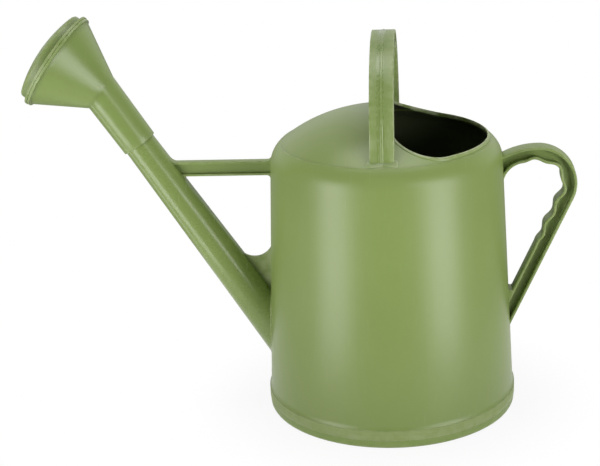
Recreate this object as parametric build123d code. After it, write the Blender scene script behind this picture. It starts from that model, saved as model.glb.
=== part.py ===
from build123d import *
import os
from math import acos, atan2, cos, degrees, hypot, pi, radians, sin, sqrt, tan

# Watering can of about ten litres, moulded in plastic. Millimetres, +Z up. The origin is on the
# tank's axis, on the ground. The spout points to -X and the rear handle to +X.

# Tank: a drafted round wall, a rounded shoulder and a dome in two arcs, on a flange for the base
wall_foot_r = 122.9
wall_draft = 2.42
wall_top_z = 252.0
tank_wall = 2.6
shoulder_r = 27.0
shoulder_turn = 52.2
shoulder_step = 0.5
crown_r = 146.0
crown_turn = 80.0
flange_w = 2.1
flange_h = 10.0
flange_ledge = 0.7
flare_r = 12.0

# Filling mouth in the dome, a D in plan, with a low lip round it
mouth_inset = 14.75
mouth_chord_x = 7.5
mouth_corner_r = 32.0
lip_t = 2.6
lip_h = 1.6

# Base pan, welded to the flange from below
pan_rim_h = 8.5
pan_rim_w = 6.5
pan_edge_round = 4.0
pan_floor_rise = 4.0
pan_floor_t = 2.6
pan_foot_slope_w = 4.0
seam_step = 0.8

# Spout, a tapered pipe
spout_root_z = 83.9
spout_lean = 56.93
spout_length = 279.9
spout_root_r = 19.7
spout_tip_r = 14.9
spout_wall = 2.2

# Brace from the spout to the wall, an I-section
brace_drop = 6.2
brace_h = 14.5
brace_w = 9.0
brace_flange = 2.2
brace_web = 2.5
brace_fillet_r = 4.0

# Gusset in the corner between the spout and the wall
gusset_t = 4.0
gusset_fillet_r = 18.7

# Rear handle, an ear-shaped I-section loop
ear_reach = 32.9
ear_drop = 25.7
ear_r = 37.2
ear_top_r = 75.0
ear_arm_lean = 65.1
ear_depth = 13.7
ear_w = 18.0
ear_flange = 2.8
ear_web = 4.0
ear_root_r = 22.0
ear_crotch_r = 2.6
ear_grip_arm = 58.0
ear_grip_end = 106.0
ear_grips = 5

# Top handle, an arched I-section hoop across the can
hoop_inset = 15.75
hoop_rise = 28.5
hoop_depth = 15.0
hoop_foot_w = 22.6
hoop_top_w = 22.4
hoop_flange = 3.0
hoop_web = 4.5
hoop_bevel = 0.9
hoop_ridge_w = 1.6
hoop_ridge_h = 0.4
hoop_grip_turn = 33.0
hoop_grips = 4
pad_w = 3.4
pad_h = 1.2
pad_round = 2.0

# Finger grips of both handles, and points of their curves for each grip
grip_depth = 3.2
grip_points = 8

# How far the fillets at the roots of the limbs run into the skin
root_sink = 1.0

# Rose: a sleeve and a funnel in one piece, with a perforated face plugged into the funnel's rim
rose_turn = 11.0
rose_bend = 21.3
sleeve_overlap = 55.3
sleeve_mouth_wall = 1.85
sleeve_neck_wall = 3.7
sleeve_fit = 0.05
neck_rise = 8.7
neck_step = 1.55
funnel_half_angle = 30.4
funnel_wall = 2.4
rim_w = 3.5
rim_overhang = 1.8
rim_t = 2.8
rim_ledge_w = 1.9
face_r = 46.9
face_fit = 0.05
face_rise = 12.3
face_dome_h = 8.1
face_wall = 2.2
face_flange_w = 4.1
face_flange_t = 2.4
hole_d = 2.4
hole_rings = 4
hole_margin = 8.5


def polar(centre, radius, turn):
    """Point at an angle in degrees on a circle."""
    return (centre[0] + radius * cos(radians(turn)), centre[1] + radius * sin(radians(turn)))


def step(point, turn, length):
    """Point reached from another along an angle in degrees."""
    return polar(point, length, turn)


def arc(centre, radius, start, end):
    """Circular arc between two angles in degrees."""
    return ThreePointArc(*[polar(centre, radius, turn) for turn in (start, (start + end) / 2, end)])


def crossing(p, p_turn, q, q_turn):
    """Point where two lines cross, each given by a point and an angle in degrees."""
    dx, dz = q[0] - p[0], q[1] - p[1]
    along = (dx * sin(radians(q_turn)) - dz * cos(radians(q_turn))) / sin(radians(q_turn - p_turn))
    return step(p, p_turn, along)


def corner_fillet(corner, first_turn, second_turn, radius):
    """Fillet in a corner: its contact on the first side, its arc and its contact on the second side."""
    half = (second_turn - first_turn) / 2
    reach = radius / tan(radians(abs(half)))
    first = step(corner, first_turn, reach)
    second = step(corner, second_turn, reach)
    middle = step(corner, first_turn + half, radius / sin(radians(abs(half))) - radius)
    return first, ThreePointArc(first, middle, second), second


def closed(*edges):
    """Face inside a chain of edges, in the drawing plane."""
    return make_face(Wire(Curve() + list(edges)).edges())


def turned(face):
    """Solid turned about the upright axis from a half profile drawn as (radius, height)."""
    return revolve(Plane.XZ * face, Axis.Z)


def slab(face, thickness):
    """Plate of a thickness from a side view drawn as (x, z), half to each side."""
    return extrude(Plane.XZ * face, amount=thickness / 2, both=True)


def column(radius, height):
    """Cylinder standing on the drawing plane."""
    return Cylinder(radius, height, align=(Align.CENTER, Align.CENTER, Align.MIN))


def frustum(low_r, high_r, height):
    """Cone frustum standing on the drawing plane."""
    return Cone(low_r, high_r, height, align=(Align.CENTER, Align.CENTER, Align.MIN))


# Tank outline, which every limb seats on
flange_r = wall_foot_r + flange_w
flange_top_z = pan_rim_h + flange_h
flare_turn = degrees(acos(cos(radians(wall_draft)) - (flange_w - flange_ledge) / flare_r))
foot_z = flange_top_z + flare_r * (sin(radians(flare_turn)) - sin(radians(wall_draft)))


def wall_r(z):
    """Outside radius of the drafted wall at a height."""
    return wall_foot_r - (z - foot_z) * tan(radians(wall_draft))


wall_top_r = wall_r(wall_top_z)
shoulder_c = polar((wall_top_r, wall_top_z), -shoulder_r, wall_draft)
crown_c = polar(shoulder_c, shoulder_r - crown_r, shoulder_turn)
top_r = crown_r + crown_c[0] / cos(radians(crown_turn))
top_c = polar(crown_c, crown_r - top_r, crown_turn)
apex_z = top_c[1] + top_r - shoulder_step


def skin(inset, low_z):
    """Edges of the tank's half profile from a height on the wall to the axis, moved inwards."""
    low = (wall_r(low_z) - inset / cos(radians(wall_draft)), low_z)
    shoulder = shoulder_r - inset
    crown = crown_r - inset - shoulder_step
    top = top_r - inset - shoulder_step
    return low, [
        Line(low, polar(shoulder_c, shoulder, wall_draft)),
        arc(shoulder_c, shoulder, wall_draft, shoulder_turn),
        Line(polar(shoulder_c, shoulder, shoulder_turn), polar(crown_c, crown, shoulder_turn)),
        arc(crown_c, crown, shoulder_turn, crown_turn),
        arc(top_c, top, crown_turn, 90),
    ]


def tank_lump(inset, low_z):
    """Solid lump under the tank's skin, moved inwards, down to a height."""
    low, edges = skin(inset, low_z)
    return turned(closed(*edges, Polyline((0, apex_z - inset), (0, low_z), low)))


# Spout axis in the plane of symmetry, as (x, z), pointing up and away from the tank
spout_turn = 180 - spout_lean
spout_root = (-wall_r(spout_root_z), spout_root_z)
spout_taper = (spout_root_r - spout_tip_r) / spout_length
spout_start = -2 * spout_root_r


def spout_r(s):
    """Outside radius of the spout at a distance from its root along the axis."""
    return spout_root_r - spout_taper * s


def spout_plane(s):
    """Plane square to the spout at a distance from its root. Its x axis points to the spout's underside."""
    x, z = step(spout_root, spout_turn, s)
    under = polar((0, 0), 1, spout_turn + 90)
    ahead = polar((0, 0), 1, spout_turn)
    return Plane((x, 0, z), x_dir=(under[0], 0, under[1]), z_dir=(ahead[0], 0, ahead[1]))


def spout_cone(inset, end):
    """The spout's cone, solid, from inside the tank to a distance along the axis, less an inset."""
    low_r, high_r = spout_r(spout_start) - inset, spout_r(end) - inset
    return spout_plane(spout_start) * frustum(low_r, high_r, end - spout_start)


# Lines just inside the wall and the spout's upper side, where the roots of the brace and gusset end
wall_turn = 90 - wall_draft
wall_mark = step(spout_root, 0, root_sink)
upper_turn = spout_turn + degrees(atan2(spout_taper, 1))
upper_mark = step(spout_root, spout_turn - 90, spout_root_r - root_sink)


def make_base_pan():
    """Shallow dish: a foot ring, a raised floor, and a rim under the tank's flange."""
    rim_r = flange_r - seam_step
    rim_in_r = rim_r - pan_rim_w
    foot_in_r = rim_in_r - pan_floor_t
    floor_top = pan_floor_rise + pan_floor_t
    edge_c = (rim_r - pan_edge_round, pan_edge_round)
    return turned(closed(
        Polyline((0, floor_top), (0, pan_floor_rise), (foot_in_r - pan_foot_slope_w, pan_floor_rise),
                 (foot_in_r, 0), polar(edge_c, pan_edge_round, -90)),
        arc(edge_c, pan_edge_round, -90, 0),
        Polyline((rim_r, pan_edge_round), (rim_r, pan_rim_h), (rim_in_r, pan_rim_h), (rim_in_r, floor_top),
                 (0, floor_top)),
    ))


def mouth_prism(mouth_r, grow):
    """The mouth's D-shaped outline, grown outwards, as an upright prism through the dome."""
    side = 2 * mouth_r
    plan = Circle(mouth_r) - Pos(mouth_chord_x - side / 2, 0) * Rectangle(side, side)
    plan = fillet(plan.vertices(), mouth_corner_r)
    if grow:
        plan = offset(plan, amount=grow)
    return Pos(0, 0, wall_top_z) * extrude(plan, amount=apex_z + 2 * lip_h - wall_top_z)


def make_tank():
    """Shell with its flange, its mouth and lip, and the hole where the spout opens into it."""
    flare_c = polar((wall_foot_r, foot_z), flare_r, wall_draft)
    flare_low = polar(flare_c, -flare_r, flare_turn)
    inner_low, inner = skin(tank_wall, pan_rim_h)
    outer_low, outer = skin(0, foot_z)
    shell = turned(closed(
        *inner,
        Line((0, apex_z - tank_wall), (0, apex_z)),
        *outer,
        arc(flare_c, flare_r, 180 + flare_turn, 180 + wall_draft),
        Polyline(flare_low, (flange_r, flange_top_z), (flange_r, pan_rim_h), inner_low),
    ))
    mouth_r = wall_top_r - mouth_inset
    rim_z = crown_c[1] + sqrt((crown_r - shoulder_step) ** 2 - (mouth_r - crown_c[0]) ** 2) + lip_h
    rise = apex_z + lip_h - rim_z
    ball_r = (mouth_r ** 2 + rise ** 2) / (2 * rise)
    lip_ball = Pos(0, 0, apex_z + lip_h - ball_r) * Sphere(ball_r)
    lip = lip_ball & mouth_prism(mouth_r, lip_t)
    lip -= tank_lump(tank_wall, pan_rim_h)
    return shell + lip - mouth_prism(mouth_r, 0) - spout_cone(spout_wall, spout_length)


def make_spout(outside):
    """Tapered pipe, cut to the tank's skin."""
    return spout_cone(0, spout_length) - spout_cone(spout_wall, spout_length + spout_wall) - outside


def make_brace(outside):
    """I-section strut, flared by a small fillet where it meets the spout and the wall."""
    mid_z = wall_top_z - brace_drop

    def panel(inset):
        """The strut's side view, from the spout's axis to inside the tank."""
        low_z = mid_z - brace_h / 2 + inset
        high_z = mid_z + brace_h / 2 - inset
        inside_x = -wall_r(mid_z) + 2 * tank_wall
        high = crossing(spout_root, spout_turn, (0, high_z), 0)
        low = crossing(spout_root, spout_turn, (0, low_z), 0)
        return closed(Polyline(high, (inside_x, high_z), (inside_x, low_z), low, high))

    strut = slab(panel(0), brace_w) - slab(panel(brace_flange), brace_w) + slab(panel(0), brace_web)
    for side, back in ((1, 0), (-1, 180)):
        z = mid_z + side * brace_h / 2
        for mark, turn, along in ((wall_mark, wall_turn, 180), (upper_mark, upper_turn, 2 * back)):
            corner = crossing(mark, turn, (0, z), 0)
            first, curve, second = corner_fillet(corner, along, turn + back, brace_fillet_r)
            strut += slab(closed(Line(corner, first), curve, Line(second, corner)), brace_w)
    return strut - outside - spout_cone(0, spout_length)


def make_gusset(outside):
    """Thin web with a concave edge, in the corner above the spout's root."""
    corner = crossing(wall_mark, wall_turn, upper_mark, upper_turn)
    first, curve, second = corner_fillet(corner, wall_turn, upper_turn, gusset_fillet_r)
    web = slab(closed(Line(corner, first), curve, Line(second, corner)), gusset_t)
    return web - outside - spout_cone(0, spout_length)


def grip_bite(share, count):
    """How far a row of finger grips bites into its flange, at a share of the row. Both ends fade out."""
    fade = min(1, 2 * count * min(share, 1 - share))
    return -grip_depth / 2 * fade * cos(2 * pi * count * share)


# Centres of the rear handle's outline, and the angle square to its straight arm
ear_z = wall_top_z - ear_drop
ear_c = (wall_r(ear_z) + ear_reach, ear_z)
ear_top_c = (ear_c[0], ear_z + ear_r - ear_top_r)
ear_side = ear_arm_lean - 90


def ear_grip_curve(depth):
    """Wavy inside edge of the rear handle at a depth from its outside, from the arm over the ear."""
    bow_r = ear_r - depth
    top_in_r = ear_top_r - depth
    arm_top = polar(ear_c, bow_r, ear_side)
    bow = bow_r * radians(90 - ear_side)
    total = ear_grip_arm + bow + top_in_r * radians(ear_grip_end - 90)
    points = []
    for i in range(ear_grips * grip_points + 1):
        share = i / (ear_grips * grip_points)
        bite = grip_bite(share, ear_grips)
        past_arm = total * share - ear_grip_arm
        if past_arm < 0:
            points.append(step(step(arm_top, ear_arm_lean, past_arm), ear_side, bite))
        elif past_arm < bow:
            points.append(polar(ear_c, bow_r + bite, ear_side + degrees(past_arm / bow_r)))
        else:
            points.append(polar(ear_top_c, top_in_r + bite, 90 + degrees((past_arm - bow) / top_in_r)))
    ways = [polar((0, 0), 1, ear_arm_lean), polar((0, 0), 1, ear_grip_end + 90)]
    return points[0], Spline(*points, tangents=ways)


def ear_loop(out_depth, in_depth):
    """Side view of the rear handle between two depths, run on into the tank."""
    inside_x = wall_r(ear_z) - 3 * tank_wall
    arm_top = polar(ear_c, ear_r - out_depth, ear_side)
    arm_low = crossing(arm_top, ear_arm_lean, (inside_x, 0), 90)
    top_out_r = ear_top_r - out_depth
    top_end = 180 - degrees(acos((ear_c[0] - inside_x) / top_out_r))
    root_r = ear_root_r + ear_depth - in_depth
    root_reach = ear_top_r - in_depth - root_r
    root_turn = 180 - degrees(acos((ear_reach + root_sink - ear_root_r) / root_reach))
    root_c = polar(ear_top_c, root_reach, root_turn)
    root_end = polar(root_c, root_r, 180)
    grip_low, grips = ear_grip_curve(in_depth)
    crotch = crossing(grip_low, ear_arm_lean, (wall_r(0) - root_sink, 0), 180 - wall_turn)
    crotch_r = ear_crotch_r + ear_depth - in_depth
    arm_in, curve, wall_in = corner_fillet(crotch, ear_arm_lean, 180 - wall_turn, crotch_r)
    return closed(
        Line(arm_low, arm_top),
        arc(ear_c, ear_r - out_depth, ear_side, 90),
        arc(ear_top_c, top_out_r, 90, top_end),
        Polyline(polar(ear_top_c, top_out_r, top_end), (inside_x, root_end[1]), root_end),
        arc(root_c, root_r, 180, root_turn),
        arc(ear_top_c, ear_top_r - in_depth, root_turn, ear_grip_end),
        grips,
        Line(grip_low, arm_in),
        curve,
        Polyline(wall_in, (inside_x, wall_in[1]), arm_low),
    )


def make_rear_handle(outside):
    """Ear-shaped loop: outer flange, web, and inner flange with finger grips."""
    pocket = ear_loop(ear_flange, ear_depth - ear_flange)
    return slab(ear_loop(0, ear_depth), ear_w) - slab(pocket, ear_w) + slab(pocket, ear_web) - outside


# Middle and radius of the top handle's arch
hoop_z = wall_top_z + hoop_rise
hoop_r = wall_top_r - hoop_inset


def hoop_curve(radius, low_z, grips):
    """Edges of an arch on two legs, as (y, z), with finger grips under its top if asked for."""
    centre = (0, hoop_z)
    start, end = 90 - hoop_grip_turn, 90 + hoop_grip_turn
    if grips:
        points = []
        for i in range(hoop_grips * grip_points + 1):
            share = i / (hoop_grips * grip_points)
            bite = grip_bite(share, hoop_grips)
            points.append(polar(centre, radius + bite, start + (end - start) * share))
        ways = [polar((0, 0), 1, start + 90), polar((0, 0), 1, end + 90)]
        over = Spline(*points, tangents=ways)
    else:
        over = arc(centre, radius, start, end)
    return [
        Line((radius, low_z), (radius, hoop_z)),
        arc(centre, radius, 0, start),
        over,
        arc(centre, radius, end, 180),
        Line((-radius, hoop_z), (-radius, low_z)),
    ]


def hoop_slab(out_r, in_r, low_z, grips, thickness):
    """Arched plate between two radii, half to each side of the arch's plane."""
    face = closed(
        *hoop_curve(out_r, low_z, False),
        Line((-out_r, low_z), (-in_r, low_z)),
        *hoop_curve(in_r, low_z, grips),
        Line((in_r, low_z), (out_r, low_z)),
    )
    return extrude(Plane.YZ * face, amount=thickness / 2, both=True)


def make_top_handle(outside):
    """Arched hoop with tapering sides, bevelled edges, a parting ridge, side recesses and foot pads."""
    in_r = hoop_r - hoop_depth
    low_z = wall_top_z
    widening = (hoop_foot_w - hoop_top_w) / hoop_r
    low_w = hoop_foot_w + widening * (hoop_z - low_z)
    top_z = hoop_z + hoop_r
    taper = closed(Polyline((-low_w / 2, low_z), (low_w / 2, low_z), (hoop_top_w / 2, top_z),
                            (-hoop_top_w / 2, top_z), (-low_w / 2, low_z)))
    hoop = hoop_slab(hoop_r, in_r, low_z, True, low_w) & slab(taper, 2 * hoop_r)
    rims = [e for e in hoop.edges() if e.center().Z > hoop_z and abs(e.center().X) > hoop_web
            and hypot(e.center().Y, e.center().Z - hoop_z) > hoop_r - hoop_bevel]
    hoop = chamfer(rims, hoop_bevel)
    recess = (hoop_r - hoop_flange, in_r + hoop_flange, hoop_z - hoop_flange, True)
    hoop += hoop_slab(hoop_r + hoop_ridge_h, hoop_r - hoop_flange, low_z, False, hoop_ridge_w)
    hoop -= hoop_slab(*recess, low_w) - hoop_slab(*recess, hoop_web)
    pads = Sketch()
    for side in (-1, 1):
        pads += Pos(0, side * (hoop_r + (pad_w - hoop_flange) / 2)) * RectangleRounded(
            hoop_foot_w + 2 * pad_w, hoop_flange + pad_w, pad_round)
    hoop += Pos(0, 0, low_z) * extrude(pads, amount=apex_z - low_z) & tank_lump(-pad_h, low_z)
    return hoop - outside


# Rose: its funnel's axis meets its sleeve's axis at the bend, past the spout's end
mouth_s = spout_length - sleeve_overlap
bend_s = spout_length + neck_rise
rose_frame = Location(spout_plane(bend_s)) * Rotation(0, 0, -rose_turn)
funnel_frame = rose_frame * Rotation(0, rose_bend, 0)
funnel_slope = tan(radians(funnel_half_angle))
sleeve_neck_r = spout_tip_r + sleeve_fit + sleeve_neck_wall
funnel_neck_r = sleeve_neck_r + neck_step
rim_r = face_r + rim_w
funnel_length = (rim_r - rim_overhang - funnel_neck_r) / funnel_slope


def make_rose_funnel():
    """Sleeve with a taper fit on the spout's end, and a funnel with a seat for the face in its rim."""
    sleeve_length = bend_s - mouth_s
    bore_r = spout_r(mouth_s) + sleeve_fit
    sleeve_mouth_r = bore_r + sleeve_mouth_wall
    sleeve = Pos(0, 0, -sleeve_length) * frustum(sleeve_mouth_r, sleeve_neck_r, sleeve_length)
    sleeve += column(sleeve_neck_r, funnel_neck_r)
    back = funnel_neck_r * tan(radians(rose_bend))
    funnel = Pos(0, 0, -back) * frustum(funnel_neck_r - back * funnel_slope, rim_r - rim_overhang,
                                        funnel_length + back)
    rim = Pos(0, 0, funnel_length) * column(rim_r, rim_t)
    bore = spout_plane(mouth_s) * frustum(bore_r, spout_tip_r + sleeve_fit, sleeve_overlap)
    passage = Pos(0, 0, -sleeve_length) * column(spout_tip_r - spout_wall, sleeve_length + funnel_neck_r)
    hollow_low_r = funnel_neck_r - funnel_wall / cos(radians(funnel_half_angle))
    ledge_r = face_r - rim_ledge_w
    hollow_length = (ledge_r - hollow_low_r) / funnel_slope
    hollow = frustum(hollow_low_r, ledge_r, hollow_length)
    hollow += Pos(0, 0, hollow_length) * column(ledge_r, funnel_length - hollow_length)
    hollow += Pos(0, 0, funnel_length) * column(face_r + face_fit, rim_t)
    rose = rose_frame * sleeve + funnel_frame * (funnel + rim)
    return rose - bore - rose_frame * passage - funnel_frame * hollow


def face_cap(radius, rise, dome_h):
    """Solid cap: a straight skirt under a dome that is part of a sphere."""
    ball_r = (radius ** 2 + dome_h ** 2) / (2 * dome_h)
    edge_turn = degrees(atan2(ball_r - dome_h, radius))
    return turned(closed(
        Polyline((0, rise + dome_h), (0, 0), (radius, 0), (radius, rise)),
        arc((0, rise + dome_h - ball_r), ball_r, edge_turn, 90),
    ))


def make_rose_face():
    """Domed cap with rings of round holes along its axis, plugged into the rim up to its own flange."""
    ring_step = (face_r - hole_margin) / hole_rings
    drills = Sketch() + Circle(hole_d / 2)
    for ring in range(1, hole_rings + 1):
        drills += PolarLocations(ring * ring_step, 6 * ring) * Circle(hole_d / 2)
    shell = face_cap(face_r, face_rise, face_dome_h)
    shell += Pos(0, 0, rim_t) * column(face_r + face_flange_w, face_flange_t)
    shell -= face_cap(face_r - face_wall, face_rise - face_wall, face_dome_h)
    shell -= extrude(drills, amount=2 * (face_rise + face_dome_h))
    return funnel_frame * Pos(0, 0, funnel_length) * shell


def main():
    outside = tank_lump(0, foot_z)
    nodes = {
        "tank_body": make_tank(),
        "base_pan": make_base_pan(),
        "spout_tube": make_spout(outside),
        "spout_brace": make_brace(outside),
        "spout_gusset": make_gusset(outside),
        "rear_handle": make_rear_handle(outside),
        "top_handle": make_top_handle(outside),
        "rose_funnel": make_rose_funnel(),
        "rose_face": make_rose_face(),
    }
    os.makedirs("parts", exist_ok=True)
    for name, solid in nodes.items():
        export_step(solid, f"parts/{name}.step")


if __name__ == "__main__":
    main()
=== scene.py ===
from math import atan2, cos, pi, radians, sin, sqrt, tan
import bmesh
import bpy
import numpy as np
from mathutils import Matrix, Vector


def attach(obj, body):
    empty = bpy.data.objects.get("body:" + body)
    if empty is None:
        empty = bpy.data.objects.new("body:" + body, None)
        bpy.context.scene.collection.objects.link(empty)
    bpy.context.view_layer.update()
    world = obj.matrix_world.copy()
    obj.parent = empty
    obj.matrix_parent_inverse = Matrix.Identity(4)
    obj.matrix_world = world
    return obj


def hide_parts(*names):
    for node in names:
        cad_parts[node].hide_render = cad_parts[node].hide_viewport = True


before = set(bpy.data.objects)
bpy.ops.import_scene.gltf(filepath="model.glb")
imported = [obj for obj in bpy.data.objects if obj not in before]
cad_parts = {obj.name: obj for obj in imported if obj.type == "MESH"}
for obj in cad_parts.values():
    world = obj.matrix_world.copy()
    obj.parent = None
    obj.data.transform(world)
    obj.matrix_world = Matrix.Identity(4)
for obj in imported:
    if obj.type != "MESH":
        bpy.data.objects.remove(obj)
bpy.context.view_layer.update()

# Base pan: the shallow dish that closes the tank from below and stands on its foot ring.
# Injection-moulded olive polyethylene, welded to the tank's flange by its rim.
# The can's sizes are in millimetres, and mm turns them into metres. The stage's are in metres.
mm = 0.001
pan_r, pan_rim_h, pan_rim_in_r, pan_middle_r = 124.2, 8.5, 117.7, 0.5
pan_foot_r, pan_floor_r, pan_floor_low, pan_floor_top = 115.1, 111.1, 4.0, 6.6
corner_points, corner_share = 5, 0.45
# Folds set which edges turn pale, as wear and painted highlight, and which inner corners take painted shade.
crisp_fold, pale_fold, nook_fold = radians(38), radians(22), radians(30)
pale_start, scuff_rub = 0.2, 0.8


def eased(corners, points=corner_points):
    """Closed outline through corners given as (x, y, ease), with points round each corner over its ease."""
    corners = np.array(corners, float)
    outline = []
    for before, corner, after in zip(np.roll(corners, 1, 0), corners, np.roll(corners, -1, 0)):
        back, on = before[:2] - corner[:2], after[:2] - corner[:2]
        back_length, on_length = max(np.linalg.norm(back), 1e-9), max(np.linalg.norm(on), 1e-9)
        ease = min(corner[2], corner_share * back_length, corner_share * on_length)
        for t in np.linspace(0, 1, points):
            outline.append(corner[:2] + ease * ((1 - t) ** 2 * back / back_length + t ** 2 * on / on_length))
    return np.array(outline)


def full_turn(count):
    """Even angles all the way round."""
    return np.arange(count) * 2 * pi / count


def spun(outline, angles):
    """Rings about the upright axis, one for each (radius, height) of an outline."""
    x, y = np.cos(angles), np.sin(angles)
    return [np.stack([r * x, r * y, np.full(len(angles), z)], 1) for r, z in outline]


def woven(name, rings, capped=False):
    """Piece with a skin of quads over rings of points. The last ring joins the first, or both are capped."""
    rings = np.array(rings, float)
    count, around = rings.shape[:2]
    ids = np.arange(count * around).reshape(count, around)
    low, high = (ids[:-1], ids[1:]) if capped else (ids, np.roll(ids, -1, 0))
    quads = np.stack([low, np.roll(low, -1, 1), np.roll(high, -1, 1), high], -1).reshape(-1, 4).tolist()
    if capped:
        quads += [ids[0][::-1].tolist(), ids[-1].tolist()]
    mesh = bpy.data.meshes.new(name)
    mesh.from_pydata((rings.reshape(-1, 3) * mm).tolist(), [], quads)
    piece = bpy.data.objects.new(name, mesh)
    bpy.context.scene.collection.objects.link(piece)
    return piece


def dressed(piece, finish, scuff_z=-1.0):
    """Closes a piece's skin, shades it and finishes it.

    Edges are marked as rubbed and lit, for wear and painted highlight, all that lies below a height as
    rubbed, and inner corners as nooks, for painted shade.
    """
    skin = bmesh.new()
    skin.from_mesh(piece.data)
    bmesh.ops.remove_doubles(skin, verts=skin.verts, dist=1e-6)
    bmesh.ops.dissolve_degenerate(skin, edges=skin.edges, dist=1e-7)
    bmesh.ops.recalc_face_normals(skin, faces=skin.faces)
    rub_and_highlight, nook = skin.verts.layers.float.new("rub_and_highlight"), skin.verts.layers.float.new("nook")
    for vert in skin.verts:
        folds = [edge.calc_face_angle_signed(0) for edge in vert.link_edges if edge.is_manifold]
        edge_paleness = max(folds, default=0) / pale_fold - pale_start
        vert[rub_and_highlight] = min(max(edge_paleness, scuff_rub * (vert.co.z < scuff_z * mm)), 1)
        vert[nook] = min(max(-min(folds, default=0) / nook_fold, 0), 1)
    skin.to_mesh(piece.data)
    skin.free()
    piece.data.shade_smooth()
    piece.data.set_sharp_from_angle(angle=crisp_fold)
    piece.data.materials.clear()
    piece.data.materials.append(finish)
    return piece


class Wire:
    """A socket in a finish's nodes. Arithmetic on it adds Math nodes, and add() brings in any other node."""

    def __init__(self, tree, socket=None):
        self.tree, self.socket = tree, socket

    def add(self, kind, settings=None, sockets=None, out=0):
        node = self.tree.nodes.new(kind)
        for key, value in (settings or {}).items():
            if key == "stops":
                for stop, (place, grey) in zip(node.color_ramp.elements, value):
                    stop.position, stop.color = place, (grey, grey, grey, 1)
            else:
                setattr(node, key, value)
        for key, value in (sockets or {}).items():
            if isinstance(value, Wire):
                self.tree.links.new(value.socket, node.inputs[key])
            else:
                node.inputs[key].default_value = value
        return Wire(self.tree, node.outputs[out])

    def math(self, operation, first, second):
        return self.add("ShaderNodeMath", {"operation": operation}, {0: first, 1: second})

    def __add__(self, other):
        return self.math("ADD", self, other)

    def __sub__(self, other):
        return self.math("SUBTRACT", self, other)

    def __rsub__(self, other):
        return self.math("SUBTRACT", other, self)

    def __mul__(self, other):
        return self.math("MULTIPLY", self, other)

    __radd__, __rmul__ = __add__, __mul__


worn_and_lit_pale, grain_depth, plastic_ior = (0.62, 0.66, 0.46), 0.004, 1.5


def olive_finish(name, green, dullness, flow=(1, 1, 1), flow_depth=0.0, wear_and_highlight=0.4, streak=0.0, recess_shade=0.3):
    """Polyethylene coloured right through, with a cloudy tone, grain, flow lines and scuffs.

    Edges go pale, partly as wear and partly as painted highlight, flow lines by streak, and nooks go dark as
    painted shade. Scales are per metre.
    """
    finish = bpy.data.materials.new(name)
    finish.use_nodes = True
    tree = finish.node_tree
    skin = tree.nodes["Principled BSDF"]
    start = Wire(tree)

    def noise(where, scale, detail, roughness=0.5):
        return start.add("ShaderNodeTexNoise", {}, {
            "Vector": where, "Scale": scale, "Detail": detail, "Roughness": roughness})

    def ramp(value, none, full):
        return start.add("ShaderNodeValToRGB", {"stops": [(none, 0), (full, 1)]}, {"Fac": value})

    def blend(share, first, second):
        sockets = {"Factor": share, 6: first, 7: second}
        return start.add("ShaderNodeMix", {"data_type": "RGBA"}, sockets, out=2)

    def shade(amount):
        return [c * amount for c in green] + [1]

    place = start.add("ShaderNodeTexCoord", out="Object")
    cloud = noise(place, 18.0, 4.0, 0.6)
    grain = noise(place, 650.0, 2.0)
    lines = noise(start.add("ShaderNodeMapping", {}, {"Vector": place, "Scale": flow}), 160.0, 3.0)
    rub_and_highlight = start.add("ShaderNodeAttribute", {"attribute_name": "rub_and_highlight"}, out="Fac")
    nook = start.add("ShaderNodeAttribute", {"attribute_name": "nook"}, out="Fac")
    rubbed_and_lit = rub_and_highlight * ramp(noise(place, 120.0, 3.0), 0.34, 0.62)
    slant = start.add("ShaderNodeMapping", {}, {
        "Vector": place, "Rotation": (0.5, 0.9, 0.3), "Scale": (420, 36, 36)})
    scuffed = ramp(noise(slant, 1.0, 2.0), 0.66, 0.74)
    streaks = ramp(lines, 0.4, 0.6)
    pale = [0.55 * c + 0.45 * g for c, g in zip(worn_and_lit_pale, green)] + [1]
    tone = blend(cloud * 0.7 + lines * 0.3, shade(0.95), shade(1.05))
    # Nooks are painted darker, down to 35 % of the green: painted shade in inner corners and recesses.
    tone = blend(nook * recess_shade, tone, shade(0.35))
    # Edges go pale partly as wear and partly as painted highlight; scuffs and streaks go pale too.
    worn_and_lit = rubbed_and_lit * wear_and_highlight + scuffed * 0.06 + streaks * (0.4 * streak)
    tree.links.new(blend(worn_and_lit, tone, pale).socket, skin.inputs["Base Color"])
    rough = cloud * 0.1 + grain * 0.05 + rubbed_and_lit * 0.12 + scuffed * 0.08 + streaks * streak
    tree.links.new((rough + (dullness - 0.075)).socket, skin.inputs["Roughness"])
    waves = start.add("ShaderNodeBump", {}, {"Height": lines, "Strength": 1.0, "Distance": flow_depth * mm})
    peel = start.add("ShaderNodeBump", {}, {
        "Height": grain, "Strength": 1.0, "Distance": grain_depth * mm, "Normal": waves})
    tree.links.new(peel.socket, skin.inputs["Normal"])
    skin.inputs["IOR"].default_value = plastic_ior
    return finish


pan_green = (0.222, 0.31, 0.076)
pan_finish = olive_finish("olive_pan", pan_green, 0.44)
pan_outline = eased([
    (pan_middle_r, pan_floor_top, 0), (pan_rim_in_r, pan_floor_top, 1.0), (pan_rim_in_r, pan_rim_h, 0.4),
    (pan_r, pan_rim_h, 0.5), (pan_r, 0, 4.0), (pan_foot_r, 0, 0.8), (pan_floor_r, pan_floor_low, 1.2),
    (pan_middle_r, pan_floor_low, 0)])
pan = dressed(woven("pan", spun(pan_outline, full_turn(288)), capped=True), pan_finish)
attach(pan, "can")
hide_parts("base_pan")
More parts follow.
